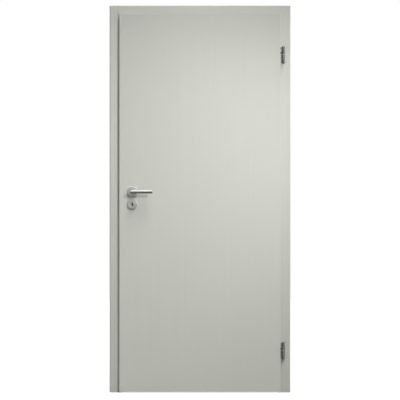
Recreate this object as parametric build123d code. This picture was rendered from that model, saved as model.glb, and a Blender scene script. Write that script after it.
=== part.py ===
from build123d import *
import math
import os

# A rebated interior door in a wrap-around timber casing, all in millimetres.
# X runs from the lock side to the hinge side, Y from the seen face to the room behind, Z up.
# The origin is on the wall face of the hinge-side lining, at floor level, in the middle of the wall.

# Doorway
passage_width = 800.0
passage_height = 1980.0
wall_thickness = 125.0

# Casing boards
lining_thickness = 30.0
stop_width = 15.0
stop_step = 10.0
front_trim_thickness = 16.0
front_trim_width = 64.0
front_trim_head_width = 55.0
back_trim_thickness = 12.0
back_trim_width = 60.0
trim_outer_radius = 6.0
trim_inner_radius = 1.5
tongue_thickness = 6.0
tongue_length = 25.0
tongue_play = 0.3
groove_spare_depth = 5.0

# Seal in the stop
seal_groove_width = 3.0
seal_groove_depth = 8.0
seal_groove_inset = 6.0
seal_foot_play = 0.2
seal_wall = 1.2
seal_width = 8.0
seal_crown_width = 4.0
seal_leaf_gap = 1.0

# Leaf
leaf_thickness = 40.0
lip_thickness = 14.0
lip_width = 15.0
hinge_rebate_gap = 5.0
lock_rebate_gap = 3.5
top_rebate_gap = 5.0
lip_gap = 5.0
floor_gap = 5.0
lip_radius = 2.0
skin_thickness = 3.0
edge_thickness = 1.0
stile_width = 40.0
rail_height = 40.0
lock_block_width = 70.0
lock_block_height = 300.0

# Lock
handle_height = 1062.0
key_drop = 66.0
backset = 55.0
case_depth = 82.0
case_height = 165.0
case_thickness = 14.0
case_play = 0.5
forend_length = 235.0
forend_width = 20.0
forend_thickness = 3.0
bolt_thickness = 8.0
latch_height = 17.0
latch_above_handle = 22.0
latch_standout = 1.0
dead_bolt_height = 30.0
bolt_length = 40.0
bolt_play = 0.5
spindle_side = 8.0
spindle_play = 0.2
follower_radius = 9.0
follower_play = 0.3
spindle_bore_radius = 9.5
keyhole_width = 8.0
keyhole_height = 19.0

# Strike plate in the lock-side rebate
strike_length = 170.0
strike_width = 22.0
strike_thickness = 2.0
strike_pocket_depth = 13.0
strike_pocket_side_play = 0.8
strike_pocket_end_play = 2.5

# Handles and roses
rose_radius = 26.0
rose_height = 9.0
rose_chamfer = 2.0
lever_radius = 9.5
lever_reach = 52.0
lever_length = 107.0
lever_tip_chamfer = 0.6
neck_play = 0.4
neck_start = 3.0
spindle_depth_in_neck = 30.0

# Hinges
upper_seam_below_top = 218.5
lower_seam_above_bottom = 219.0
hinge_radius = 8.0
hinge_offset = 16.0
hinge_depth = 5.5
leaf_knuckle_length = 42.0
frame_knuckle_length = 45.0
ring_length = 3.5
ring_play = 0.15
leaf_knuckle_chamfer = 1.0
frame_knuckle_chamfer = (4.5, 2.5)
hinge_pin_radius = 4.0
hinge_pin_play = 0.05
hinge_pin_depth = 30.0
hinge_stud_radius = 3.5
hinge_stud_play = 0.1
hinge_stud_spacing = 24.0
leaf_stud_angle = 5.0
leaf_stud_length = 58.0
frame_stud_angle = 27.0
frame_stud_length = 64.0

# Positions across the doorway
hinge_passage_x = -lining_thickness
lock_passage_x = hinge_passage_x - passage_width
hinge_rebate_x = hinge_passage_x + stop_width
lock_rebate_x = lock_passage_x - stop_width
body_right = hinge_rebate_x - hinge_rebate_gap
body_left = lock_rebate_x + lock_rebate_gap
lip_right = body_right + lip_width
lip_left = body_left - lip_width

# Positions through the wall
wall_front_y = -wall_thickness / 2
wall_back_y = wall_thickness / 2
trim_front_y = wall_front_y - front_trim_thickness
lip_back_y = trim_front_y - lip_gap
leaf_front_y = lip_back_y - lip_thickness
leaf_back_y = leaf_front_y + leaf_thickness
stop_y = wall_front_y + stop_step
core_front_y = leaf_front_y + skin_thickness
core_back_y = leaf_back_y - skin_thickness
lip_core_back_y = lip_back_y - edge_thickness
lock_y = (lip_back_y + leaf_back_y) / 2

# Heights
rebate_top = passage_height + stop_width
body_top = rebate_top - top_rebate_gap
lip_top = body_top + lip_width
key_height = handle_height - key_drop
lock_middle = (handle_height + key_height) / 2
handle_x = body_left + backset

# Hinge axis, past the leaf's edge and a little behind its face
hinge_x = lip_right + hinge_offset
hinge_y = leaf_front_y + hinge_depth
hinge_seam_heights = {
    "upper": lip_top - upper_seam_below_top,
    "lower": floor_gap + lower_seam_above_bottom,
}

# A length that reaches past every board before it is mitred
long_run = passage_height + passage_width


def block(x_range, y_range, z_range):
    """A rectangular solid between two values on each axis."""
    lows = [min(r) for r in (x_range, y_range, z_range)]
    highs = [max(r) for r in (x_range, y_range, z_range)]
    spans = [high - low for low, high in zip(lows, highs)]
    return Pos(*lows) * Box(*spans, align=(Align.MIN, Align.MIN, Align.MIN))


def rod(centre, direction, radius, length):
    """A round rod that starts at a centre and runs in a direction."""
    return extrude(Plane(origin=centre, z_dir=direction) * Circle(radius), length)


def run_along(section, side):
    """A casing section, drawn as (away from the passage, through the wall), run along one side."""
    if side == "hinge_side":
        plane = Plane((hinge_passage_x, 0, 0), x_dir=(1, 0, 0), z_dir=(0, 0, 1))
        return extrude(plane * section, long_run)
    if side == "lock_side":
        plane = Plane((lock_passage_x, 0, 0), x_dir=(-1, 0, 0), z_dir=(0, 0, -1))
        return extrude(plane * section, -long_run)
    start = hinge_passage_x + passage_width / 2
    plane = Plane((start, 0, passage_height), x_dir=(0, 0, 1), z_dir=(-1, 0, 0))
    return extrude(plane * section, long_run)


def mitre_mask(side, inner, outer, head_outer):
    """The region one casing side keeps between its mitres, from an inner to an outer line."""
    inner_top = passage_height + inner
    outer_top = passage_height + head_outer
    corners = {
        "hinge": [(hinge_passage_x + inner, inner_top), (hinge_passage_x + outer, outer_top)],
        "lock": [(lock_passage_x - inner, inner_top), (lock_passage_x - outer, outer_top)],
    }
    if side == "head":
        outline = corners["hinge"] + corners["lock"][::-1]
    else:
        inner_corner, outer_corner = corners[side.split("_")[0]]
        outline = [inner_corner, outer_corner, (outer_corner[0], 0), (inner_corner[0], 0)]
    face = make_face(Polyline(*outline, close=True))
    return extrude(Plane.XZ * face, wall_thickness * 2, both=True)


def rounded_corners(section, points, radius):
    """A section with the corners nearest to the given points rounded."""
    corners = [section.vertices().sort_by_distance(Vector(*p))[0] for p in points]
    return fillet(corners, radius)


def lining_section():
    """The thick board through the wall, with the stop, the seal groove and the trim groove."""
    outline = [
        (0, stop_y),
        (stop_width, stop_y),
        (stop_width, wall_front_y),
        (lining_thickness, wall_front_y),
        (lining_thickness, wall_back_y),
        (0, wall_back_y),
    ]
    board = make_face(Polyline(*outline, close=True))
    seal_groove = Pos(seal_groove_inset, stop_y + seal_groove_depth / 2) * Rectangle(
        seal_groove_width, seal_groove_depth
    )
    groove_depth = tongue_length + groove_spare_depth
    trim_groove = Pos(lining_thickness / 2, wall_back_y - groove_depth / 2) * Rectangle(
        tongue_thickness + 2 * tongue_play, groove_depth
    )
    return board - seal_groove - trim_groove


def front_trim_section(width):
    """The flat front board, which forms the outer part of the rebate."""
    outer = stop_width + width
    board = Pos(stop_width + width / 2, (trim_front_y + wall_front_y) / 2) * Rectangle(
        width, front_trim_thickness
    )
    board = rounded_corners(board, [(outer, trim_front_y)], trim_outer_radius)
    return rounded_corners(board, [(stop_width, trim_front_y)], trim_inner_radius)


def back_trim_section():
    """The back board with the tongue that slides in the lining."""
    board = Pos(back_trim_width / 2, wall_back_y + back_trim_thickness / 2) * Rectangle(
        back_trim_width, back_trim_thickness
    )
    outer_back = wall_back_y + back_trim_thickness
    board = rounded_corners(board, [(back_trim_width, outer_back)], trim_outer_radius)
    board = rounded_corners(board, [(0, outer_back)], trim_inner_radius)
    tongue = Pos(lining_thickness / 2, wall_back_y - tongue_length / 2) * Rectangle(
        tongue_thickness, tongue_length
    )
    return board + tongue


def seal_section():
    """The rubber seal: a foot in the groove and a hollow crown towards the leaf."""
    foot_depth = seal_groove_depth - seal_foot_play
    foot = Pos(seal_groove_inset, stop_y + foot_depth / 2) * Rectangle(
        seal_groove_width - 2 * seal_foot_play, foot_depth
    )
    reach = stop_y - leaf_back_y - seal_leaf_gap

    def crown(inset, base_wall):
        half_base = seal_width / 2 - inset
        half_top = seal_crown_width / 2 - inset / 2
        return make_face(
            Polyline(
                (seal_groove_inset - half_base, stop_y - base_wall),
                (seal_groove_inset - half_top, stop_y - reach + inset),
                (seal_groove_inset + half_top, stop_y - reach + inset),
                (seal_groove_inset + half_base, stop_y - base_wall),
                close=True,
            )
        )

    return crown(0, 0) - crown(seal_wall, seal_wall) + foot


def casing_board(section, side, inner, outer, head_outer):
    """One mitred length of a casing section."""
    return run_along(section, side) & mitre_mask(side, inner, outer, head_outer)


def hinge_studs(seam, upper_part):
    """The two studs of one hinge half: (start point, direction, length)."""
    if upper_part:
        middle = seam + ring_length / 2 + leaf_knuckle_length / 2
        angle = math.radians(leaf_stud_angle)
        direction = (-math.cos(angle), math.sin(angle), 0)
        length = leaf_stud_length
    else:
        middle = seam - ring_length / 2 - frame_knuckle_length / 2
        angle = math.radians(frame_stud_angle)
        direction = (-math.sin(angle), math.cos(angle), 0)
        length = frame_stud_length
    heights = [middle - hinge_stud_spacing / 2, middle + hinge_stud_spacing / 2]
    return [((hinge_x, hinge_y, z), direction, length) for z in heights]


def stud_bores(upper_part):
    """The bores that take the studs of both hinges, in the leaf or in the casing."""
    bores = Part()
    for seam in hinge_seam_heights.values():
        for start, direction, length in hinge_studs(seam, upper_part):
            bores += rod(start, direction, hinge_stud_radius + hinge_stud_play, length + 1)
    return bores


def lining(side):
    """A lining board; the hinge side takes the studs and the lock side the strike plate."""
    board = casing_board(lining_section(), side, 0, lining_thickness, lining_thickness)
    if side == "hinge_side":
        board -= stud_bores(upper_part=False)
    if side == "lock_side":
        board -= strike_recess()
    return board


def front_trim(side):
    """A front board; the hinge side is bored for the studs and the lock side cut for the strike."""
    width = front_trim_head_width if side == "head" else front_trim_width
    outer = stop_width + front_trim_width
    head_outer = stop_width + front_trim_head_width
    board = casing_board(front_trim_section(width), side, stop_width, outer, head_outer)
    if side == "hinge_side":
        board -= stud_bores(upper_part=False)
    if side == "lock_side":
        board -= strike_recess()
    return board


def back_trim(side):
    """A back board with its tongue."""
    return casing_board(back_trim_section(), side, 0, back_trim_width, back_trim_width)


def seal(side):
    """A length of seal in the stop."""
    outer = seal_groove_inset * 2
    return casing_board(seal_section(), side, 0, outer, outer)


def bolt_heights():
    """Middle heights and sizes of the latch and the dead bolt."""
    return {
        "latch": (handle_height + latch_above_handle, latch_height),
        "dead": (key_height - dead_bolt_height / 2, dead_bolt_height),
    }


def slot_plate(centre, length, width, x_range):
    """A plate with round ends, standing upright and square to X."""
    face = Plane(origin=(x_range[0], *centre), x_dir=(0, 0, 1), z_dir=(1, 0, 0)) * SlotOverall(
        length, width
    )
    return extrude(face, x_range[1] - x_range[0])


def strike_centre():
    """The strike plate's middle, as (y, z), on the side of the rebate."""
    return (trim_front_y + stop_y) / 2, lock_middle


def strike_pockets():
    """The openings for the latch and the dead bolt, behind and through the strike plate."""
    pockets = Part()
    depth = (lock_rebate_x - strike_pocket_depth, lock_rebate_x)
    half_thickness = bolt_thickness / 2 + strike_pocket_side_play
    for middle, height in bolt_heights().values():
        half_height = height / 2 + strike_pocket_end_play
        pockets += block(
            depth,
            (lock_y - half_thickness, lock_y + half_thickness),
            (middle - half_height, middle + half_height),
        )
    return pockets


def strike_recess():
    """What is cut from the casing for the strike plate and its pockets."""
    depth = (lock_rebate_x - strike_thickness, lock_rebate_x)
    seat = slot_plate(strike_centre(), strike_length, strike_width, depth)
    return seat + strike_pockets()


def strike_plate():
    """The plate with the two openings for the bolts."""
    depth = (lock_rebate_x - strike_thickness, lock_rebate_x)
    return slot_plate(strike_centre(), strike_length, strike_width, depth) - strike_pockets()


def keyhole(y_range):
    """The oval keyhole between two depths."""
    plane = Plane(origin=(handle_x, y_range[0], key_height), x_dir=(0, 0, 1), z_dir=(0, 1, 0))
    return extrude(plane * SlotOverall(keyhole_height, keyhole_width), y_range[1] - y_range[0])


def lock_bores(y_range):
    """The spindle bore and the keyhole between two depths of the leaf."""
    centre = (handle_x, y_range[0], handle_height)
    spindle = rod(centre, (0, 1, 0), spindle_bore_radius, y_range[1] - y_range[0])
    return spindle + keyhole(y_range)


def front_skin():
    """The face sheet, turned back round the lip on both sides and along the top."""
    whole = block((lip_left, lip_right), (leaf_front_y, lip_back_y), (floor_gap, lip_top))
    front = whole.faces().sort_by(Axis.Y)[0]
    turned = front.edges().sort_by(Axis.Z)[1:]
    whole = fillet(turned, lip_radius)
    inside = block(
        (lip_left + skin_thickness, lip_right - skin_thickness),
        (core_front_y, lip_back_y),
        (floor_gap, lip_top - skin_thickness),
    )
    skin = whole - inside - stud_bores(upper_part=True)
    return skin - lock_bores((leaf_front_y, core_front_y))


def back_skin():
    """The sheet on the back of the leaf, between the edge strips."""
    sheet = block(
        (body_left + edge_thickness, body_right - edge_thickness),
        (core_back_y, leaf_back_y),
        (floor_gap, body_top - edge_thickness),
    )
    return sheet - lock_bores((core_back_y, leaf_back_y))


def edge_strip(side):
    """The laminate folded over the back of the lip and the leaf's edge on one side."""
    behind_lip = (lip_core_back_y, lip_back_y)
    on_edge = (lip_core_back_y, leaf_back_y)
    lip_height = (floor_gap, lip_top - skin_thickness)
    edge_height = (floor_gap, body_top)
    if side == "hinge":
        flange = block((body_right, lip_right - skin_thickness), behind_lip, lip_height)
        return flange + block((body_right - edge_thickness, body_right), on_edge, edge_height)
    if side == "lock":
        flange = block((lip_left + skin_thickness, body_left), behind_lip, lip_height)
        strip = flange + block((body_left, body_left + edge_thickness), on_edge, edge_height)
        return strip - lock_mortise()
    flange = block((body_left, body_right), behind_lip, (body_top, lip_top - skin_thickness))
    return flange + block(
        (body_left + edge_thickness, body_right - edge_thickness),
        on_edge,
        (body_top - edge_thickness, body_top),
    )


def lipped_member(x_body, x_lip, z_body, z_lip):
    """A stile or rail: a thin part in the lip and a deeper part in the rebate."""
    lip = block(x_lip, (core_front_y, lip_core_back_y), z_lip)
    return lip + block(x_body, (lip_core_back_y, core_back_y), z_body)


def hinge_stile():
    """The upright on the hinge side, bored for the hinge studs."""
    inner = body_right - stile_width
    stile = lipped_member(
        (inner, body_right - edge_thickness),
        (inner, lip_right - skin_thickness),
        (floor_gap, body_top - edge_thickness),
        (floor_gap, lip_top - skin_thickness),
    )
    return stile - stud_bores(upper_part=True)


def lock_mortise():
    """The space for the lock case and its forend."""
    half_thickness = case_thickness / 2 + case_play
    half_height = case_height / 2 + case_play
    pocket = block(
        (body_left, body_left + case_depth + case_play),
        (lock_y - half_thickness, lock_y + half_thickness),
        (lock_middle - half_height, lock_middle + half_height),
    )
    depth = (body_left, body_left + forend_thickness)
    return pocket + slot_plate((lock_y, lock_middle), forend_length, forend_width, depth)


def lock_stile():
    """The upright on the lock side, with the lock's mortise."""
    inner = body_left + stile_width
    stile = lipped_member(
        (body_left + edge_thickness, inner),
        (lip_left + skin_thickness, inner),
        (floor_gap, body_top - edge_thickness),
        (floor_gap, lip_top - skin_thickness),
    )
    return stile - lock_mortise()


def rail_span():
    """The width between the stiles."""
    return body_left + stile_width, body_right - stile_width


def top_rail():
    """The rail between the stiles at the top."""
    bottom = body_top - rail_height
    heights = (bottom, body_top - edge_thickness)
    return lipped_member(rail_span(), rail_span(), heights, (bottom, lip_top - skin_thickness))


def bottom_rail():
    """The rail between the stiles at the floor."""
    return block(rail_span(), (core_front_y, core_back_y), (floor_gap, floor_gap + rail_height))


def lock_block_box():
    """The timber block beside the lock stile that backs the lock case."""
    left = body_left + stile_width
    return block(
        (left, left + lock_block_width),
        (core_front_y, core_back_y),
        (lock_middle - lock_block_height / 2, lock_middle + lock_block_height / 2),
    )


def lock_block():
    """The block with its share of the mortise and the bores."""
    return lock_block_box() - lock_mortise() - lock_bores((core_front_y, core_back_y))


def core_infill():
    """The light board that fills the leaf between its timbers."""
    slab = block(
        rail_span(),
        (core_front_y, core_back_y),
        (floor_gap + rail_height, body_top - rail_height),
    )
    return slab - lock_block_box()


def bolt_blocks(margin, x_range):
    """The latch and the dead bolt as blocks, grown by a margin."""
    blocks = {}
    half_thickness = bolt_thickness / 2 + margin
    for name, (middle, height) in bolt_heights().items():
        half_height = height / 2 + margin
        blocks[name] = block(
            x_range,
            (lock_y - half_thickness, lock_y + half_thickness),
            (middle - half_height, middle + half_height),
        )
    return blocks


def bolt_ways():
    """The guides of both bolts through the forend and into the case."""
    ways = bolt_blocks(bolt_play, (body_left, body_left + bolt_length + bolt_play))
    return ways["latch"] + ways["dead"]


def lock_forend():
    """The face plate of the lock, let in flush with the leaf's edge."""
    depth = (body_left, body_left + forend_thickness)
    plate = slot_plate((lock_y, lock_middle), forend_length, forend_width, depth)
    return plate - bolt_ways()


def lock_case():
    """The mortise case with the round follower bore, the keyhole and the bolt guides."""
    case = block(
        (body_left + forend_thickness, body_left + case_depth),
        (lock_y - case_thickness / 2, lock_y + case_thickness / 2),
        (lock_middle - case_height / 2, lock_middle + case_height / 2),
    )
    y_range = (lock_y - case_thickness / 2, lock_y + case_thickness / 2)
    bore_radius = follower_radius + follower_play
    case -= rod((handle_x, y_range[0], handle_height), (0, 1, 0), bore_radius, case_thickness)
    return case - keyhole(y_range) - bolt_ways()


def lock_follower():
    """The round follower that turns in the case, with the square hole for the spindle."""
    near = (handle_x, lock_y - case_thickness / 2, handle_height)
    disc = rod(near, (0, 1, 0), follower_radius, case_thickness)
    side = spindle_side + 2 * spindle_play
    return disc - extrude(Plane(origin=near, z_dir=(0, 1, 0)) * Rectangle(side, side), case_thickness)


def latch_bolt():
    """The sprung latch with its slanted head, drawn back into the forend."""
    bolt = bolt_blocks(0, (body_left - latch_standout, body_left + bolt_length))["latch"]
    nose = bolt.edges().filter_by(Axis.Z).sort_by(Axis.X)[:2].sort_by(Axis.Y)[-1]
    return chamfer(nose, bolt_thickness * 0.6, bolt_thickness * 0.9)


def dead_bolt():
    """The dead bolt, drawn back level with the forend."""
    return bolt_blocks(0, (body_left, body_left + bolt_length))["dead"]


def rose_body(front):
    """A round rose on the front or the back face of the leaf, at the spindle height."""
    base_y = leaf_front_y if front else leaf_back_y
    outwards = -1 if front else 1
    disc = rod((handle_x, base_y, handle_height), (0, outwards, 0), rose_radius, rose_height)
    outer = disc.faces().sort_by(Axis.Y)[0 if front else -1]
    return chamfer(outer.edges(), rose_chamfer)


def handle_rose(front):
    """The rose that the lever's neck turns in."""
    base_y = leaf_front_y if front else leaf_back_y
    outwards = -1 if front else 1
    centre = (handle_x, base_y, handle_height)
    return rose_body(front) - rod(centre, (0, outwards, 0), lever_radius + neck_play, rose_height)


def key_rose(front):
    """The rose with the oval keyhole."""
    base_y = leaf_front_y if front else leaf_back_y
    outer_y = base_y - rose_height if front else base_y + rose_height
    rose = Pos(0, 0, -key_drop) * rose_body(front)
    return rose - keyhole((min(base_y, outer_y), max(base_y, outer_y)))


def lever(front):
    """A round lever, mitred where it turns from its neck, with a socket for the spindle."""
    base_y = leaf_front_y if front else leaf_back_y
    outwards = -1 if front else 1
    start = (handle_x, base_y + outwards * neck_start, handle_height)
    corner = (handle_x, base_y + outwards * lever_reach, handle_height)
    end = (handle_x + lever_length, corner[1], handle_height)
    neck_plane = Plane(origin=start, z_dir=(0, outwards, 0))
    path = Polyline(start, corner, end)
    body = sweep(neck_plane * Circle(lever_radius), path, transition=Transition.RIGHT)
    tip = body.faces().sort_by(Axis.X)[-1]
    body = chamfer(tip.edges(), lever_tip_chamfer)
    side = spindle_side + 2 * spindle_play
    return body - extrude(neck_plane * Rectangle(side, side), spindle_depth_in_neck)


def spindle():
    """The square spindle that joins both levers through the lock."""
    near = leaf_front_y - neck_start - spindle_depth_in_neck + spindle_play
    far = leaf_back_y + neck_start + spindle_depth_in_neck - spindle_play
    plane = Plane(origin=(handle_x, near, handle_height), x_dir=(1, 0, 0), z_dir=(0, 1, 0))
    return extrude(plane * Rectangle(spindle_side, spindle_side), far - near)


def knuckle(seam, upper_part):
    """A hinge half: its barrel, tapered at the free end and bored for the pin, with two studs."""
    outwards = 1 if upper_part else -1
    start = (hinge_x, hinge_y, seam + outwards * ring_length / 2)
    length = leaf_knuckle_length if upper_part else frame_knuckle_length
    barrel = rod(start, (0, 0, outwards), hinge_radius, length)
    free_end = barrel.faces().sort_by(Axis.Z)[-1 if upper_part else 0]
    if upper_part:
        barrel = chamfer(free_end.edges(), leaf_knuckle_chamfer)
    else:
        along, inwards = frame_knuckle_chamfer
        side = barrel.faces().filter_by(GeomType.CYLINDER)[0]
        barrel = chamfer(free_end.edges(), along, inwards, reference=side)
    for stud_start, direction, stud_length in hinge_studs(seam, upper_part):
        barrel += rod(stud_start, direction, hinge_stud_radius, stud_length)
    play = hinge_pin_play if upper_part else 0
    bore_depth = ring_length / 2 + hinge_pin_depth + play
    bore_start = (hinge_x, hinge_y, seam)
    return barrel - rod(bore_start, (0, 0, outwards), hinge_pin_radius + play, bore_depth)


def hinge_pin(seam):
    """The pin that is fixed in the lower half and turns in the upper one."""
    length = ring_length + 2 * hinge_pin_depth
    return rod((hinge_x, hinge_y, seam - length / 2), (0, 0, 1), hinge_pin_radius, length)


def hinge_ring(seam):
    """The bearing ring between the two halves."""
    bottom = (hinge_x, hinge_y, seam - ring_length / 2)
    ring = rod(bottom, (0, 0, 1), hinge_radius, ring_length - ring_play)
    return ring - rod(bottom, (0, 0, 1), hinge_pin_radius + hinge_pin_play, ring_length)


def all_pieces():
    """Every piece of the door set by name."""
    pieces = {}
    for side in ("hinge_side", "lock_side", "head"):
        pieces[side + "_lining"] = lining(side)
        pieces[side + "_front_trim"] = front_trim(side)
        pieces[side + "_back_trim"] = back_trim(side)
        pieces[side + "_seal"] = seal(side)
    pieces["strike_plate"] = strike_plate()
    pieces["front_skin"] = front_skin()
    pieces["back_skin"] = back_skin()
    for side in ("hinge", "lock", "top"):
        pieces[side + "_edge_strip"] = edge_strip(side)
    pieces["hinge_stile"] = hinge_stile()
    pieces["lock_stile"] = lock_stile()
    pieces["top_rail"] = top_rail()
    pieces["bottom_rail"] = bottom_rail()
    pieces["lock_block"] = lock_block()
    pieces["core_infill"] = core_infill()
    pieces["lock_forend"] = lock_forend()
    pieces["lock_case"] = lock_case()
    pieces["lock_follower"] = lock_follower()
    pieces["latch_bolt"] = latch_bolt()
    pieces["dead_bolt"] = dead_bolt()
    for face in ("front", "back"):
        pieces[face + "_handle_rose"] = handle_rose(face == "front")
        pieces[face + "_key_rose"] = key_rose(face == "front")
        pieces[face + "_lever"] = lever(face == "front")
    pieces["spindle"] = spindle()
    for place, seam in hinge_seam_heights.items():
        pieces[place + "_hinge_leaf_part"] = knuckle(seam, upper_part=True)
        pieces[place + "_hinge_frame_part"] = knuckle(seam, upper_part=False)
        pieces[place + "_hinge_pin"] = hinge_pin(seam)
        pieces[place + "_hinge_ring"] = hinge_ring(seam)
    return pieces


os.makedirs("parts", exist_ok=True)
for name, piece in all_pieces().items():
    export_step(piece, f"parts/{name}.step")
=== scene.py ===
import math

import bmesh
import bpy
from mathutils import Matrix, Vector


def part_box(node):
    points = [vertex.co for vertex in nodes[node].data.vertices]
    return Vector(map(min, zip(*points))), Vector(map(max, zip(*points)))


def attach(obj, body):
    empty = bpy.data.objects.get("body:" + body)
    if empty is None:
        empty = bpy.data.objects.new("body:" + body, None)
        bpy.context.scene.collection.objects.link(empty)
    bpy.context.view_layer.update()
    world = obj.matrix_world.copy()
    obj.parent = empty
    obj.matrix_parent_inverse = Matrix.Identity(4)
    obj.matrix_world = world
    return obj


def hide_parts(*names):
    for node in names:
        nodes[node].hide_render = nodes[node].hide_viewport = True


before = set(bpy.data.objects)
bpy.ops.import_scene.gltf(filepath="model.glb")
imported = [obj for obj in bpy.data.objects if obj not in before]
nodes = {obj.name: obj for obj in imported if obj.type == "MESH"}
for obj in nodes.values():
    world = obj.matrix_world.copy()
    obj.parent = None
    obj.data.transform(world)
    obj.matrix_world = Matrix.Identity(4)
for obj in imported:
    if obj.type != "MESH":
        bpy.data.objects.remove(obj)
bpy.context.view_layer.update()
scene = bpy.context.scene

MM = 0.001
# Faces that meet at less than this angle are shaded as one curve
SHADING_ANGLE = math.radians(32)


def middle_of(node):
    """The middle of a node's box."""
    low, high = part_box(node)
    return tuple((a + b) / 2 for a, b in zip(low, high))


# Where the pieces of the door set are, read from the pack
leaf_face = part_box("front_skin")[0].y
leaf_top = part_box("front_skin")[1].z
leaf_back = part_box("back_handle_rose")[0].y
handle_x, _, handle_z = middle_of("front_handle_rose")
key_z = middle_of("front_key_rose")[2]
lever_low, lever_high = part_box("front_lever")
lever_radius = (lever_high.z - lever_low.z) / 2
strike_low, strike_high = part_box("strike_plate")
_, strike_y, strike_z = middle_of("strike_plate")
forend_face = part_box("lock_forend")[0].x
forend_y = middle_of("lock_forend")[1]
case_low, case_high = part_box("lock_case")
hinge_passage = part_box("hinge_side_lining")[0].x
lock_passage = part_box("lock_side_lining")[1].x
passage_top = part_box("head_lining")[0].z
door_middle = middle_of("head_front_trim")[0]


# Materials

def linear(colour):
    """An sRGB hex colour as linear red, green, blue and full alpha."""
    parts = [int(colour[i:i + 2], 16) / 255 for i in (1, 3, 5)]
    return [p / 12.92 if p <= 0.04045 else ((p + 0.055) / 1.055) ** 2.4 for p in parts] + [1]


def wire(tree, node, sockets):
    """Gives each socket its value, or a link where it is given another node's output."""
    for name, value in sockets.items():
        if isinstance(value, bpy.types.NodeSocket):
            tree.links.new(value, node.inputs[name])
        else:
            node.inputs[name].default_value = value


def add(tree, kind, sockets=None, stops=(), **settings):
    """Adds a node with its settings and sockets, and stops of (position, hex colour) on a ramp."""
    made = tree.nodes.new("ShaderNode" + kind)
    for name, value in settings.items():
        setattr(made, name, value)
    wire(tree, made, sockets or {})
    if stops:
        points = made.color_ramp.elements
        while len(points) < len(stops):
            points.new(0.5)
        for point, (position, colour) in zip(points, stops):
            point.position = position
            point.color = linear(colour)
    return made


def finish(name):
    """A new material, its node tree and its one shader."""
    made = bpy.data.materials.new(name)
    made.use_nodes = True
    return made, made.node_tree, made.node_tree.nodes["Principled BSDF"]


def pressed_laminate(name, light, dark, painted_foot_shade, painted_head_light):
    """Melamine laminate, pressed against a satin steel sheet and glued onto the boards.

    The eye gets an even pale grey with a broad soft sheen, very faint clouds and upright streaks
    of the decor paper, and the shallow pearl that the press leaves. Its tone is painted darker
    towards the floor and lighter towards the head, as painted shade and painted light.
    """
    cloud_size, streak_width, streak_length = 180 * MM, 14 * MM, 1000 * MM
    # The real pearl is about 0.8 mm across and would not show, so it is drawn coarser
    pearl_size, pearl_depth = 3 * MM, 0.04 * MM
    made, tree, shader = finish(name)
    place = add(tree, "TexCoord").outputs["Object"]
    clouds = add(tree, "TexNoise", {
        "Vector": place, "Scale": 1 / cloud_size, "Detail": 3, "Roughness": 0.5,
    })
    # The streaks of the rolled paper run up the door
    rolled = add(tree, "Mapping", {
        "Vector": place, "Scale": (1, 1, streak_width / streak_length),
    })
    streaks = add(tree, "TexNoise", {
        "Vector": rolled.outputs["Vector"], "Scale": 1 / streak_width, "Detail": 1,
    })
    both = add(tree, "Math", {0: clouds.outputs["Fac"], 1: streaks.outputs["Fac"]})
    half = add(tree, "Math", {0: both.outputs[0], 1: 0.5}, operation="MULTIPLY")
    paper = add(tree, "ValToRGB", {"Fac": half.outputs[0]}, [(0.35, dark), (0.65, light)])
    level = add(tree, "SeparateXYZ", {"Vector": place}).outputs["Z"]
    # Painted shade and light: the tone runs from darker at the floor to lighter at the head
    painted_light_by_height = add(tree, "MapRange", {
        "Value": level, "From Max": leaf_top, "To Min": painted_foot_shade, "To Max": painted_head_light,
    })
    colour = add(tree, "VectorMath", {
        0: paper.outputs["Color"], "Scale": painted_light_by_height.outputs["Result"],
    }, operation="SCALE")
    pearl = add(tree, "TexNoise", {
        "Vector": place, "Scale": 1 / pearl_size, "Detail": 2, "Roughness": 0.6,
    })
    sheen = add(tree, "MapRange", {"Value": pearl.outputs["Fac"], "To Min": 0.52, "To Max": 0.62})
    press = add(tree, "Bump", {
        "Height": pearl.outputs["Fac"], "Strength": 0.12, "Distance": pearl_depth,
    })
    wire(tree, shader, {
        "IOR": 1.5, "Base Color": colour.outputs[0], "Roughness": sheen.outputs["Result"],
        "Normal": press.outputs["Normal"],
    })
    return made


def planed_spruce(name, grain_axis):
    """Spruce framing, planed, with its foot sawn across.

    The eye gets straw yellow wood with darker growth lines along the piece, and the lines
    crowded together on the sawn underside of the leaf.
    """
    # Real rings are 2 to 4 mm apart and would not show, so they are drawn twice as coarse
    ring_spacing, ring_relief = 7.917 * MM, 0.1 * MM
    # A wave texture of scale 1 repeats after a tenth of pi
    wave_repeat = math.pi / 10
    # Along the grain, the pattern is 25 times as long
    stretch = [1.0, 1.0, 1.0]
    stretch[grain_axis] = 0.04
    made, tree, shader = finish(name)
    place = add(tree, "TexCoord").outputs["Object"]
    along = add(tree, "Mapping", {"Vector": place, "Scale": stretch}).outputs["Vector"]
    rings = add(tree, "TexWave", {
        "Vector": along, "Scale": wave_repeat / ring_spacing, "Distortion": 3, "Detail": 3,
    }).outputs["Fac"]
    colour = add(tree, "ValToRGB", {"Fac": rings}, [(0.1, "#B58B54"), (0.8, "#DDBF8C")])
    dull = add(tree, "MapRange", {"Value": rings, "To Min": 0.62, "To Max": 0.78})
    relief = add(tree, "Bump", {"Height": rings, "Strength": 0.4, "Distance": ring_relief})
    wire(tree, shader, {
        "IOR": 1.5, "Base Color": colour.outputs["Color"], "Roughness": dull.outputs["Result"],
        "Normal": relief.outputs["Normal"],
    })
    return made


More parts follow.
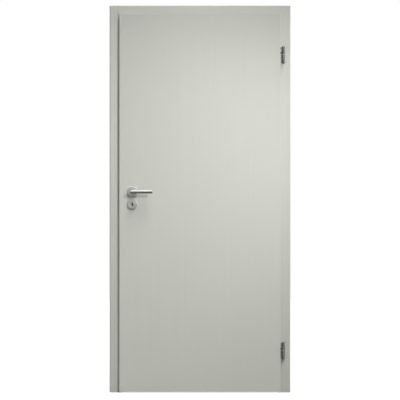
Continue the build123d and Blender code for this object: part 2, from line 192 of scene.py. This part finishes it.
def chipboard():
    """Light extruded chipboard, pressed from coarse flakes.

    The eye gets a patchwork of tan chips, each with its own tone, and a rough dull surface.
    """
    chip_size, chip_relief = 6 * MM, 0.5 * MM
    made, tree, shader = finish("extruded chipboard")
    place = add(tree, "TexCoord").outputs["Object"]
    chips = add(tree, "TexVoronoi", {"Vector": place, "Scale": 1 / chip_size, "Randomness": 1})
    tone = add(tree, "SeparateXYZ", {"Vector": chips.outputs["Color"]}).outputs["X"]
    colour = add(tree, "ValToRGB", {"Fac": tone}, [
        (0.0, "#8F6F49"), (0.5, "#B8976A"), (1.0, "#D3B98D"),
    ])
    relief = add(tree, "Bump", {
        "Height": chips.outputs["Distance"], "Strength": 0.6, "Distance": chip_relief,
    })
    wire(tree, shader, {
        "Base Color": colour.outputs["Color"], "Roughness": 0.85,
        "Normal": relief.outputs["Normal"],
    })
    return made


def satin_stainless(name, tone, roughness, line_spacing, stretch, centre=None):
    """Stainless steel, satin brushed.

    The eye gets a soft grey metal whose highlights are drawn out across fine brush lines. Straight
    lines follow the stretch; round a centre they are rings, as a turned disc has. Real lines are
    0.1 to 0.2 mm apart and would not show, so the spacings given are three to five times that.
    """
    line_depth, unevenness = 0.015 * MM, 0.04
    made, tree, shader = finish(name)
    place = add(tree, "TexCoord").outputs["Object"]
    if centre:
        outwards = add(tree, "VectorMath", {0: place, 1: centre}, operation="SUBTRACT")
        flat = add(tree, "VectorMath", {
            0: outwards.outputs[0], 1: (1, 0, 1),
        }, operation="MULTIPLY")
        radius = add(tree, "VectorMath", {0: flat.outputs[0]}, operation="LENGTH")
        place = add(tree, "CombineXYZ", {"X": radius.outputs["Value"]}).outputs["Vector"]
        # Grooves round the centre spread a highlight outwards, a quarter turn from their run
        grooves = add(tree, "Tangent", direction_type="RADIAL", axis="Y")
        wire(tree, shader, {
            "Tangent": grooves.outputs["Tangent"], "Anisotropic": 0.65,
            "Anisotropic Rotation": 0.25,
        })
    lines_at = add(tree, "Mapping", {"Vector": place, "Scale": stretch}).outputs["Vector"]
    lines = add(tree, "TexNoise", {
        "Vector": lines_at, "Scale": 1 / line_spacing, "Detail": 3, "Roughness": 0.6,
    }).outputs["Fac"]
    rough = add(tree, "MapRange", {
        "Value": lines, "To Min": roughness - unevenness, "To Max": roughness + unevenness,
    })
    brushed = add(tree, "Bump", {"Height": lines, "Strength": 0.15, "Distance": line_depth})
    wire(tree, shader, {
        "Metallic": 1.0, "Base Color": linear(tone), "Roughness": rough.outputs["Result"],
        "Normal": brushed.outputs["Normal"],
    })
    return made


def zinc_plated():
    """Steel, zinc plated and passivated.

    The eye gets a cool grey with faint blue and yellow clouds.
    """
    cloud_size = 15 * MM
    made, tree, shader = finish("zinc plated steel")
    place = add(tree, "TexCoord").outputs["Object"]
    clouds = add(tree, "TexNoise", {
        "Vector": place, "Scale": 1 / cloud_size, "Detail": 4,
    }).outputs["Fac"]
    colour = add(tree, "ValToRGB", {"Fac": clouds}, [
        (0.3, "#A9AEB2"), (0.55, "#B9B8AE"), (0.75, "#A4A8B4"),
    ])
    rough = add(tree, "MapRange", {"Value": clouds, "To Min": 0.32, "To Max": 0.5})
    wire(tree, shader, {
        "Metallic": 1.0, "Base Color": colour.outputs["Color"],
        "Roughness": rough.outputs["Result"],
    })
    return made


def moulded_nylon(name, light, dark):
    """Nylon, injection moulded.

    The eye gets a soft waxy surface that light sinks into by a millimetre, with the grain of
    the mould.
    """
    # The real grain is finer than 0.2 mm and would not show, so it is drawn coarser
    grain_size, light_depth = 0.6 * MM, 1 * MM
    made, tree, shader = finish(name)
    place = add(tree, "TexCoord").outputs["Object"]
    grain = add(tree, "TexNoise", {
        "Vector": place, "Scale": 1 / grain_size, "Detail": 2,
    }).outputs["Fac"]
    colour = add(tree, "ValToRGB", {"Fac": grain}, [(0.2, dark), (0.8, light)])
    rough = add(tree, "MapRange", {"Value": grain, "To Min": 0.38, "To Max": 0.5})
    wire(tree, shader, {
        "IOR": 1.53, "Subsurface Weight": 0.15, "Subsurface Scale": light_depth,
        "Base Color": colour.outputs["Color"], "Roughness": rough.outputs["Result"],
    })
    return made


def extruded_rubber():
    """Foamed rubber seal, extruded and powdered.

    The eye gets a dull mid grey, faintly mottled by the powder.
    """
    mottle_size = 1.5 * MM
    made, tree, shader = finish("extruded rubber seal")
    place = add(tree, "TexCoord").outputs["Object"]
    mottle = add(tree, "TexNoise", {
        "Vector": place, "Scale": 1 / mottle_size, "Detail": 3,
    }).outputs["Fac"]
    colour = add(tree, "ValToRGB", {"Fac": mottle}, [(0.3, "#8A8C88"), (0.7, "#999B97")])
    rough = add(tree, "MapRange", {"Value": mottle, "To Min": 0.6, "To Max": 0.78})
    wire(tree, shader, {
        "IOR": 1.52, "Base Color": colour.outputs["Color"], "Roughness": rough.outputs["Result"],
    })
    return made


# The last two numbers of each laminate are its painted shade at the foot and painted light at the
# head
leaf_laminate = pressed_laminate(
    "satin grey laminate on the leaf", "#D5D6CE", "#D3D4CC", 0.97, 1)
casing_laminate = pressed_laminate(
    "satin grey laminate on the casing", "#D5D6CE", "#D3D4CC", 0.85, 1.04)
stile_timber = planed_spruce("planed spruce stile", 2)
rail_timber = planed_spruce("planed spruce rail", 0)
infill_board = chipboard()
rose_steel, key_rose_steel = (
    satin_stainless(name, "#C9CAC7", 0.32, 0.7 * MM, (1, 1, 1), (handle_x, 0, height))
    for name, height in (
        ("ring brushed stainless rose", handle_z), ("ring brushed stainless key rose", key_z))
)
lever_steel = satin_stainless(
    "satin brushed stainless lever", "#B4B4B2", 0.24, 0.6 * MM, (0.03, 1, 1))
hinge_steel = satin_stainless(
    "satin turned stainless hinge", "#828381", 0.6, 0.5 * MM, (0.05, 0.05, 1))
plate_steel = satin_stainless(
    "satin rolled stainless plate", "#B4B4B2", 0.33, 0.6 * MM, (1, 1, 0.03))
zinc_steel = zinc_plated()
# The wards' dark tone is painted shade for the inside of the keyhole
shade_dark_ward_steel = satin_stainless(
    "steel in the lock, painted dark as shade", "#5E5D5A", 0.45, 0.6 * MM, (1, 1, 0.03))
ring_nylon = moulded_nylon("moulded pale nylon", "#B4B5B1", "#A9AAA6")
liner_nylon = moulded_nylon("moulded black nylon", "#1F1F1E", "#191918")
seal_rubber = extruded_rubber()

node_finishes = {
    leaf_laminate: [
        "front_skin", "back_skin", "hinge_edge_strip", "lock_edge_strip", "top_edge_strip",
    ],
    casing_laminate: [
        side + part for side in ("hinge_side", "lock_side", "head")
        for part in ("_lining", "_front_trim", "_back_trim")
    ],
    seal_rubber: ["hinge_side_seal", "lock_side_seal", "head_seal"],
    stile_timber: ["hinge_stile", "lock_stile", "lock_block"],
    rail_timber: ["top_rail", "bottom_rail"],
    infill_board: ["core_infill"],
    plate_steel: ["strike_plate", "lock_forend"],
    zinc_steel: ["lock_case", "lock_follower", "latch_bolt", "dead_bolt", "spindle"],
    rose_steel: ["front_handle_rose", "back_handle_rose"],
    key_rose_steel: ["front_key_rose", "back_key_rose"],
    lever_steel: ["front_lever", "back_lever"],
    hinge_steel: [
        place + part for place in ("upper_hinge", "lower_hinge")
        for part in ("_leaf_part", "_frame_part", "_pin")
    ],
    ring_nylon: ["upper_hinge_ring", "lower_hinge_ring"],
}
for material, names in node_finishes.items():
    for name in names:
        for slot in nodes[name].material_slots:
            slot.material = material


# Pieces

def skinned(rings):
    """A closed mesh over a row of rings with the same number of points."""
    made = bmesh.new()
    rows = [[made.verts.new(point) for point in ring] for ring in rings]
    count = len(rows[0])
    for near, far in zip(rows, rows[1:]):
        for i in range(count):
            j = (i + 1) % count
            made.faces.new((near[i], near[j], far[j], far[i]))
    made.faces.new(rows[0][::-1])
    made.faces.new(rows[-1])
    bmesh.ops.recalc_face_normals(made, faces=made.faces)
    return made


def turned(profile, centre, axis, steps=96):
    """A lathe-turned mesh: a profile of (radius, height) points round an axis from a centre."""
    upright = Vector(axis).to_track_quat("Z", "Y").to_matrix()
    angles = [2 * math.pi * i / steps for i in range(steps)]
    return skinned([
        [Vector(centre) + upright @ Vector((r * math.cos(a), r * math.sin(a), h)) for a in angles]
        for r, h in profile
    ])


def arc(centre, radius, start, end, steps=8):
    """Points of an arc from one angle to another, in degrees."""
    angles = [math.radians(start + (end - start) * i / steps) for i in range(steps + 1)]
    return [(centre[0] + radius * math.cos(a), centre[1] + radius * math.sin(a)) for a in angles]


def slot_prism(centre, length, width, depth):
    """An upright slot with round ends, reaching a depth to both sides along Y."""
    half = (length - width) / 2
    outline = arc((0, half), width / 2, 0, 180, 12) + arc((0, -half), width / 2, 180, 360, 12)
    return skinned([
        [Vector((centre[0] + x, centre[1] + y, centre[2] + z)) for x, z in outline]
        for y in (-depth, depth)
    ])


def block(middle, spans):
    """A plain block, to cut with or to hollow out."""
    made = bmesh.new()
    bmesh.ops.create_cube(made, size=1)
    bmesh.ops.transform(made, matrix=Matrix.Diagonal((*spans, 1)), verts=made.verts)
    bmesh.ops.translate(made, vec=middle, verts=made.verts)
    return made


def make_piece(name, mesh, material, body, cuts=(), stands_for=()):
    """An object from a bmesh with its cuts, shading, finish and body; the nodes it stands for are
    hidden.
    """
    data = bpy.data.meshes.new(name)
    mesh.to_mesh(data)
    mesh.free()
    piece = bpy.data.objects.new(name, data)
    scene.collection.objects.link(piece)
    for cut in cuts:
        tool_data = bpy.data.meshes.new("tool")
        cut.to_mesh(tool_data)
        cut.free()
        tool = bpy.data.objects.new("tool", tool_data)
        scene.collection.objects.link(tool)
        step = piece.modifiers.new("cut", "BOOLEAN")
        step.operation = "DIFFERENCE"
        step.solver = "EXACT"
        step.object = tool
        ready = piece.evaluated_get(bpy.context.evaluated_depsgraph_get())
        after = bpy.data.meshes.new_from_object(ready)
        piece.modifiers.clear()
        piece.data = after
        bpy.data.objects.remove(tool)
    piece.data.name = name
    piece.data.materials.clear()
    piece.data.materials.append(material)
    for face in piece.data.polygons:
        face.use_smooth = True
    piece.data.set_sharp_from_angle(angle=SHADING_ANGLE)
    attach(piece, body)
    if stands_for:
        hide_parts(*stands_for)


def stand(node):
    """Which way a node on the leaf points along Y, where its foot is and where it ends."""
    low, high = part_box(node)
    return (-1, high.y, low.y) if node.startswith("front") else (1, low.y, high.y)


def rose(node, material, bore=0, cuts=()):
    """A turned rose cover: a wall, a sloping edge, a flat face and a hole for the lever's neck."""
    slope_width, slope_drop, edge_radius = 5.2 * MM, 0.35 * MM, 1.0 * MM
    foot_bevel, bore_rim, bore_edge, hub = 0.4 * MM, 1.6 * MM, 0.5 * MM, 0.5 * MM
    low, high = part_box(node)
    x, _, z = middle_of(node)
    outwards, foot, _ = stand(node)
    radius, height = (high.x - low.x) / 2, high.y - low.y
    slope = math.degrees(math.atan2(slope_drop, slope_width))
    shoulder = radius - slope_width - 2 * edge_radius
    profile = [(radius - foot_bevel, 0), (radius, foot_bevel)]
    profile += arc(
        (radius - edge_radius, height - slope_drop - edge_radius), edge_radius, 0, 90 - slope)
    profile += arc((shoulder, height - 2 * edge_radius), 2 * edge_radius, 90 - slope, 90, 4)
    if bore:
        profile += [(bore + bore_rim, height)]
        profile += arc((bore + bore_edge, height - bore_edge), bore_edge, 90, 180, 4)
        profile += [(bore, bore_edge)]
    else:
        profile += [(hub, height)]
    make_piece(
        node + "_cover", turned(profile, (x, foot, z), (0, outwards, 0)), material,
        "leaf", cuts, [node])


def lever(node):
    """A lever bent square from round bar, with a softened mitre and end, and a set screw below."""
    mitre_radius, tip_radius, radius = 1.4 * MM, 0.9 * MM, lever_radius
    screw_from_foot, hub = 12 * MM, 0.1 * MM
    screw_radius, hole_radius, hexagon_radius = 2.45 * MM, 2.6 * MM, 1.45 * MM
    outwards, foot, reach = stand(node)
    bar_y = reach - outwards * radius
    bar_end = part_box(node)[1].x
    angles = [2 * math.pi * i / 96 for i in range(96)]
    rings = [[
        (handle_x + radius * math.cos(a), foot, handle_z + radius * math.sin(a)) for a in angles
    ]]
    for degrees in range(0, 91, 15):
        bend = math.radians(degrees)
        forward = mitre_radius * (math.sin(bend) - 1)
        along = mitre_radius * (1 - math.cos(bend))
        rings.append([
            (
                handle_x + radius * math.cos(a) + along,
                bar_y + outwards * (forward - radius * math.cos(a)),
                handle_z + radius * math.sin(a),
            )
            for a in angles
        ])
    for degrees in (0, 30, 60, 90):
        turn = math.radians(degrees)
        end_radius = radius - tip_radius * (1 - math.cos(turn))
        end_x = bar_end - tip_radius * (1 - math.sin(turn))
        rings.append([
            (
                end_x,
                bar_y - outwards * end_radius * math.cos(a),
                handle_z + end_radius * math.sin(a),
            )
            for a in angles
        ])

    def upright(profile, rise, steps):
        """A small upright piece at the set screw's place under the lever's neck."""
        place = (handle_x, foot + outwards * screw_from_foot, handle_z - radius + rise)
        return turned(profile, place, (0, 0, 1), steps)

    hole = upright([(hole_radius, 0), (hole_radius, 4 * MM)], -2 * MM, 32)
    hexagon = upright([(hexagon_radius, 0), (hexagon_radius, 2 * MM)], -0.4 * MM, 6)
    screw = upright([
        (hub, 0), (1.9 * MM, 0), (screw_radius, 0.5 * MM), (screw_radius, 2.2 * MM),
        (hub, 2.2 * MM),
    ], 0.5 * MM, 48)
    make_piece(
        node + "_bar", skinned(rings), lever_steel, "handle", [hole], [node])
    make_piece(
        node + "_bar_set_screw", screw, zinc_steel, "handle", [hexagon])


def countersunk_screw(name, centre, body):
    """A raised countersunk head with a cross recess, in a plate on the casing or the leaf."""
    # The casing's plate faces right, into the passage, and the leaf's faces left
    out = 1 if body == "frame" else -1
    head_mm = (
        (0.1, -1), (2.2, -1), (3.9, -0.05), (3.9, 0.12), (2.9, 0.38), (1.6, 0.56), (0.1, 0.62))
    cross_length, cross_width, cross_depth = 3.8 * MM, 0.8 * MM, 1.4 * MM
    cross_middle = Vector(centre) + Vector((out * 0.5 * MM, 0, 0))
    recess = [
        block(cross_middle, (cross_depth, across, up))
        for across, up in ((cross_length, cross_width), (cross_width, cross_length))
    ]
    head = turned([(r * MM, h * MM) for r, h in head_mm], centre, (out, 0, 0), 48)
    make_piece(name, head, zinc_steel, body, recess)


def seal_strip(side, ends):
    """A soft bulb on a barbed foot, cut to the mitres of the casing."""
    middle, shoulder, bulb_half_width = 6 * MM, 1.6 * MM, 2.4 * MM
    stem, barb, barb_rise, barb_length = 0.8 * MM, 1.3 * MM, 0.5 * MM, 1.3 * MM
    groove_depth, foot_tip = 7.8 * MM, 7.7 * MM
    stop_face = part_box("hinge_side_seal")[1].y - groove_depth
    stands_out = stop_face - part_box(side + "_seal")[0].y
    flange = [(4 * MM, 0), (3.9 * MM, -0.7 * MM), (3 * MM, -1 * MM)]
    bulb = [
        (bulb_half_width * x, -shoulder - (stands_out - shoulder) * y)
        for x, y in arc((0, 0), 1, 20, 160, 12)
    ]
    foot = []
    for root in (1.2 * MM, 3.4 * MM, 5.6 * MM):
        foot += [(stem, root), (barb, root + barb_rise), (stem, root + barb_length)]
    outline = flange + bulb + [(-x, y) for x, y in flange[::-1] + foot]
    outline += [(0, foot_tip)] + foot[::-1]
    rings = [[ends(middle + u, stop_face + v, k) for u, v in outline] for k in range(2)]
    make_piece(
        side + "_seal_strip", skinned(rings), seal_rubber, "frame",
        stands_for=[side + "_seal"])


# Roses, keyholes and levers
neck_play = 0.4 * MM
keyhole_height, keyhole_width, cut_depth = 19 * MM, 8 * MM, 20 * MM
for face in ("front", "back"):
    rose(face + "_handle_rose", rose_steel, lever_radius + neck_play)
for face in ("front", "back"):
    keyhole = slot_prism(
        middle_of(face + "_key_rose"), keyhole_height, keyhole_width, cut_depth)
    rose(face + "_key_rose", key_rose_steel, cuts=[keyhole])

# Black guides that line the keyhole from behind each rose, so that no raw wood shows in it; their
# black is also painted shade for the inside of the keyhole
guide_inside, guide_outside, guide_play, guide_wall = 14 * MM, 6 * MM, 0.05 * MM, 0.45 * MM
guide_height, guide_width = keyhole_height - 2 * guide_play, keyhole_width - 2 * guide_play
for face, surface, outwards in (("front", leaf_face, -1), ("back", leaf_back, 1)):
    inner, outer = surface - outwards * guide_inside, surface + outwards * guide_outside
    middle, half = (handle_x, (inner + outer) / 2, key_z), abs(outer - inner) / 2
    guide = slot_prism(middle, guide_height, guide_width, half)
    way = slot_prism(
        middle, guide_height - 2 * guide_wall, guide_width - 2 * guide_wall, 2 * half)
    make_piece(face + "_keyhole_guide", guide, liner_nylon, "leaf", [way])
for face in ("front", "back"):
    lever(face + "_lever")

# Wards in the lock case: a keyhole of a ring and a slit in each cheek, and a tumbler between
ward_play, ward_half, ward_inset, tumbler_half = 0.1 * MM, 0.6 * MM, 0.7 * MM, 0.8 * MM
ward_height, ward_width = keyhole_height - 2 * ward_play, keyhole_width - 2 * ward_play
ring_radius, ring_rise, slit_width, slit_height, slit_drop = (
    2.8 * MM, 4.5 * MM, 2.8 * MM, 12 * MM, 2 * MM)
for face, depth in (("front", case_low.y + ward_inset), ("back", case_high.y - ward_inset)):
    plate = slot_prism((handle_x, depth, key_z), ward_height, ward_width, ward_half)
    pin_hole = turned(
        [(ring_radius, -2 * MM), (ring_radius, 2 * MM)],
        (handle_x, depth, key_z + ring_rise), (0, 1, 0), 32)
    slit = block((handle_x, depth, key_z - slit_drop), (slit_width, 4 * MM, slit_height))
    # Their dark steel is painted shade seen through the keyhole
    make_piece(
        face + "_key_ward", plate, shade_dark_ward_steel, "leaf", [pin_hole, slit])
tumbler = slot_prism(
    (handle_x, (case_low.y + case_high.y) / 2, key_z), ward_height, ward_width, tumbler_half)
make_piece("key_tumbler", tumbler, shade_dark_ward_steel, "leaf")

# Screws of the strike plate and the forend, above and below the middle of the strike plate
strike_screws_rise, forend_screws_rise = 76 * MM, 108 * MM
for plate, x, y, rise, body in (
    ("strike", strike_high.x, strike_y, strike_screws_rise, "frame"),
    ("forend", forend_face, forend_y, forend_screws_rise, "leaf"),
):
    for place, way in (("upper", 1), ("lower", -1)):
        countersunk_screw(f"{place}_{plate}_screw", (x, y, strike_z + way * rise), body)

# Dust boxes behind the strike plate, so that the bolts run into dark pockets
box_depth, box_wall, box_gap = 10.9 * MM, 0.7 * MM, 0.05 * MM
side_play, end_play = 1.5 * MM, 4.9 * MM
for bolt in ("latch_bolt", "dead_bolt"):
    low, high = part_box(bolt)
    _, y, z = middle_of(bolt)
    middle = Vector((strike_low.x - box_depth / 2 - box_gap, y, z))
    spans = Vector((box_depth, high.y - low.y + side_play, high.z - low.z + end_play))
    walls = Vector((0, 2 * box_wall, 2 * box_wall))
    hollow = block(middle + Vector((box_wall, 0, 0)), spans - walls)
    make_piece(
        bolt + "_dust_box", block(middle, spans), liner_nylon, "frame", [hollow])

# A seal runs from the floor (k = 0) to its mitre (k = 1), or along the head between two mitres
seal_strip("hinge_side", lambda u, v, k: (hinge_passage + u, v, (passage_top + u) * k))
seal_strip("lock_side", lambda u, v, k: (lock_passage - u, v, (passage_top + u) * k))
seal_strip("head", lambda u, v, k: (
    (lock_passage - u, v, passage_top + u) if k else (hinge_passage + u, v, passage_top + u)))


# Light, floor and camera

def lamp(name, kind, power, place, target, **settings):
    """A lamp that the camera doesn't see, aimed at a point."""
    light = bpy.data.lights.new(name, kind)
    light.energy = power
    for setting, value in settings.items():
        setattr(light, setting, value)
    holder = bpy.data.objects.new(name, light)
    scene.collection.objects.link(holder)
    holder.location = place
    holder.rotation_euler = (Vector(target) - Vector(place)).to_track_quat("-Z", "Y").to_euler()
    holder.visible_camera = False
    # The metal mirrors the soft room of the world, not the lamps themselves
    holder.visible_glossy = False


def rays(tree):
    """Whether a ray is the camera's, straight or through glass, and whether it is mirrored."""
    path = add(tree, "LightPath").outputs
    seen = add(tree, "Math", {
        0: path["Is Camera Ray"], 1: path["Is Transmission Ray"],
    }, operation="MAXIMUM")
    return seen.outputs[0], path["Is Glossy Ray"]


scene.view_settings.view_transform = "Standard"

world = bpy.data.worlds.new("studio")
world.use_nodes = True
scene.world = world
tree = world.node_tree
tree.nodes.clear()
seen, mirroring = rays(tree)
heading = add(tree, "TexCoord").outputs["Generated"]
ways = add(tree, "SeparateXYZ", {"Vector": heading}).outputs
height = add(tree, "MapRange", {"Value": ways["Z"], "From Min": -1, "From Max": 1})
room = add(tree, "ValToRGB", {"Fac": height.outputs["Result"]}, [
    (0.0, "#2E2E2E"), (0.42, "#333333"), (0.48, "#767676"), (0.88, "#7A7A7A"), (0.96, "#FFFFFF"),
])
# More light comes from the right, as in the photograph, also in what the metal mirrors
gleam = add(tree, "MapRange", {
    "Value": ways["X"], "From Min": -1, "From Max": 1, "To Min": 3, "To Max": 5,
})
even = add(tree, "Math", {
    0: room.outputs["Color"], 1: gleam.outputs["Result"],
}, operation="MULTIPLY")
# A soft window up on the right, which the brushed rings catch
window_way = Vector((0.62, -0.62, 0.48)).normalized()
facing = add(tree, "VectorMath", {0: heading, 1: window_way}, operation="DOT_PRODUCT")
window = add(tree, "MapRange", {
    "Value": facing.outputs["Value"], "From Min": 0.955, "From Max": 0.985,
    "To Min": 0, "To Max": 11,
})
mirrored = add(tree, "Math", {0: even.outputs[0], 1: window.outputs["Result"]})
soft = add(tree, "MapRange", {
    "Value": ways["X"], "From Min": -1, "From Max": 1, "To Min": 0.02, "To Max": 0.135,
})
lit = add(tree, "Mix", {
    "Factor": mirroring, "A": soft.outputs["Result"], "B": mirrored.outputs[0],
})
strength = add(tree, "Mix", {"Factor": seen, "A": lit.outputs[0], "B": 1.0})
backdrop = add(tree, "Background", {"Color": (1, 1, 1, 1), "Strength": strength.outputs[0]})
add(tree, "OutputWorld", {"Surface": backdrop.outputs["Background"]})

lamp(
    "key", "SPOT", power=50, place=(door_middle + 0.57, leaf_face - 1.45, 1.655),
    target=(door_middle, leaf_face, 1.14), shadow_soft_size=0.2, spot_size=math.radians(90),
    spot_blend=1.0)
for name, power, place, degrees_wide in (
    ("fill", 0.68, (door_middle + 0.5, -1, 1.2), 15),
    ("upper_fill", 1.55, (door_middle + 0.47, -1, 2.5), 20),
    ("back_fill", 2.2, (door_middle - 0.5, 1, 0.9), 40),
):
    lamp(name, "SUN", power, place, (door_middle, 0, 0), angle=math.radians(degrees_wide))

floor_half_width, floor_glow = 6, 0.78
floor_mesh = bmesh.new()
bmesh.ops.create_grid(floor_mesh, x_segments=8, y_segments=8, size=floor_half_width)
floor_data = bpy.data.meshes.new("floor")
floor_mesh.to_mesh(floor_data)
floor = bpy.data.objects.new("floor", floor_data)
scene.collection.objects.link(floor)
floor_paint, tree, shader = finish("pale studio floor")
seen, mirroring = rays(tree)
# The paint's tone in gloss (0), in the light that it throws back (0.5) and to the camera (1),
# where the glow lifts it to white everywhere but in the object's shadow
less = add(tree, "Math", {0: seen, 1: mirroring}, operation="SUBTRACT")
level = add(tree, "Math", {0: less.outputs[0], 1: 0.5, 2: 0.5}, operation="MULTIPLY_ADD")
tone = add(tree, "ValToRGB", {"Fac": level.outputs[0]}, [
    (0.0, "#585856"), (0.5, "#A0A09E"), (1.0, "#868684"),
])
glow = add(tree, "Math", {0: seen, 1: floor_glow}, operation="MULTIPLY")
wire(tree, shader, {
    "Roughness": 0.8, "Base Color": tone.outputs["Color"],
    "Emission Color": (1, 1, 1, 1), "Emission Strength": glow.outputs[0],
})
floor_data.materials.append(floor_paint)

camera_distance, camera_height, focal_length = 6.58, 1.019, 110.5
lens = bpy.data.cameras.new("camera")
lens.lens = focal_length
camera = bpy.data.objects.new("camera", lens)
scene.collection.objects.link(camera)
camera.location = (door_middle, -camera_distance, camera_height)
camera.rotation_euler = (math.radians(90), 0, 0)
scene.camera = camera
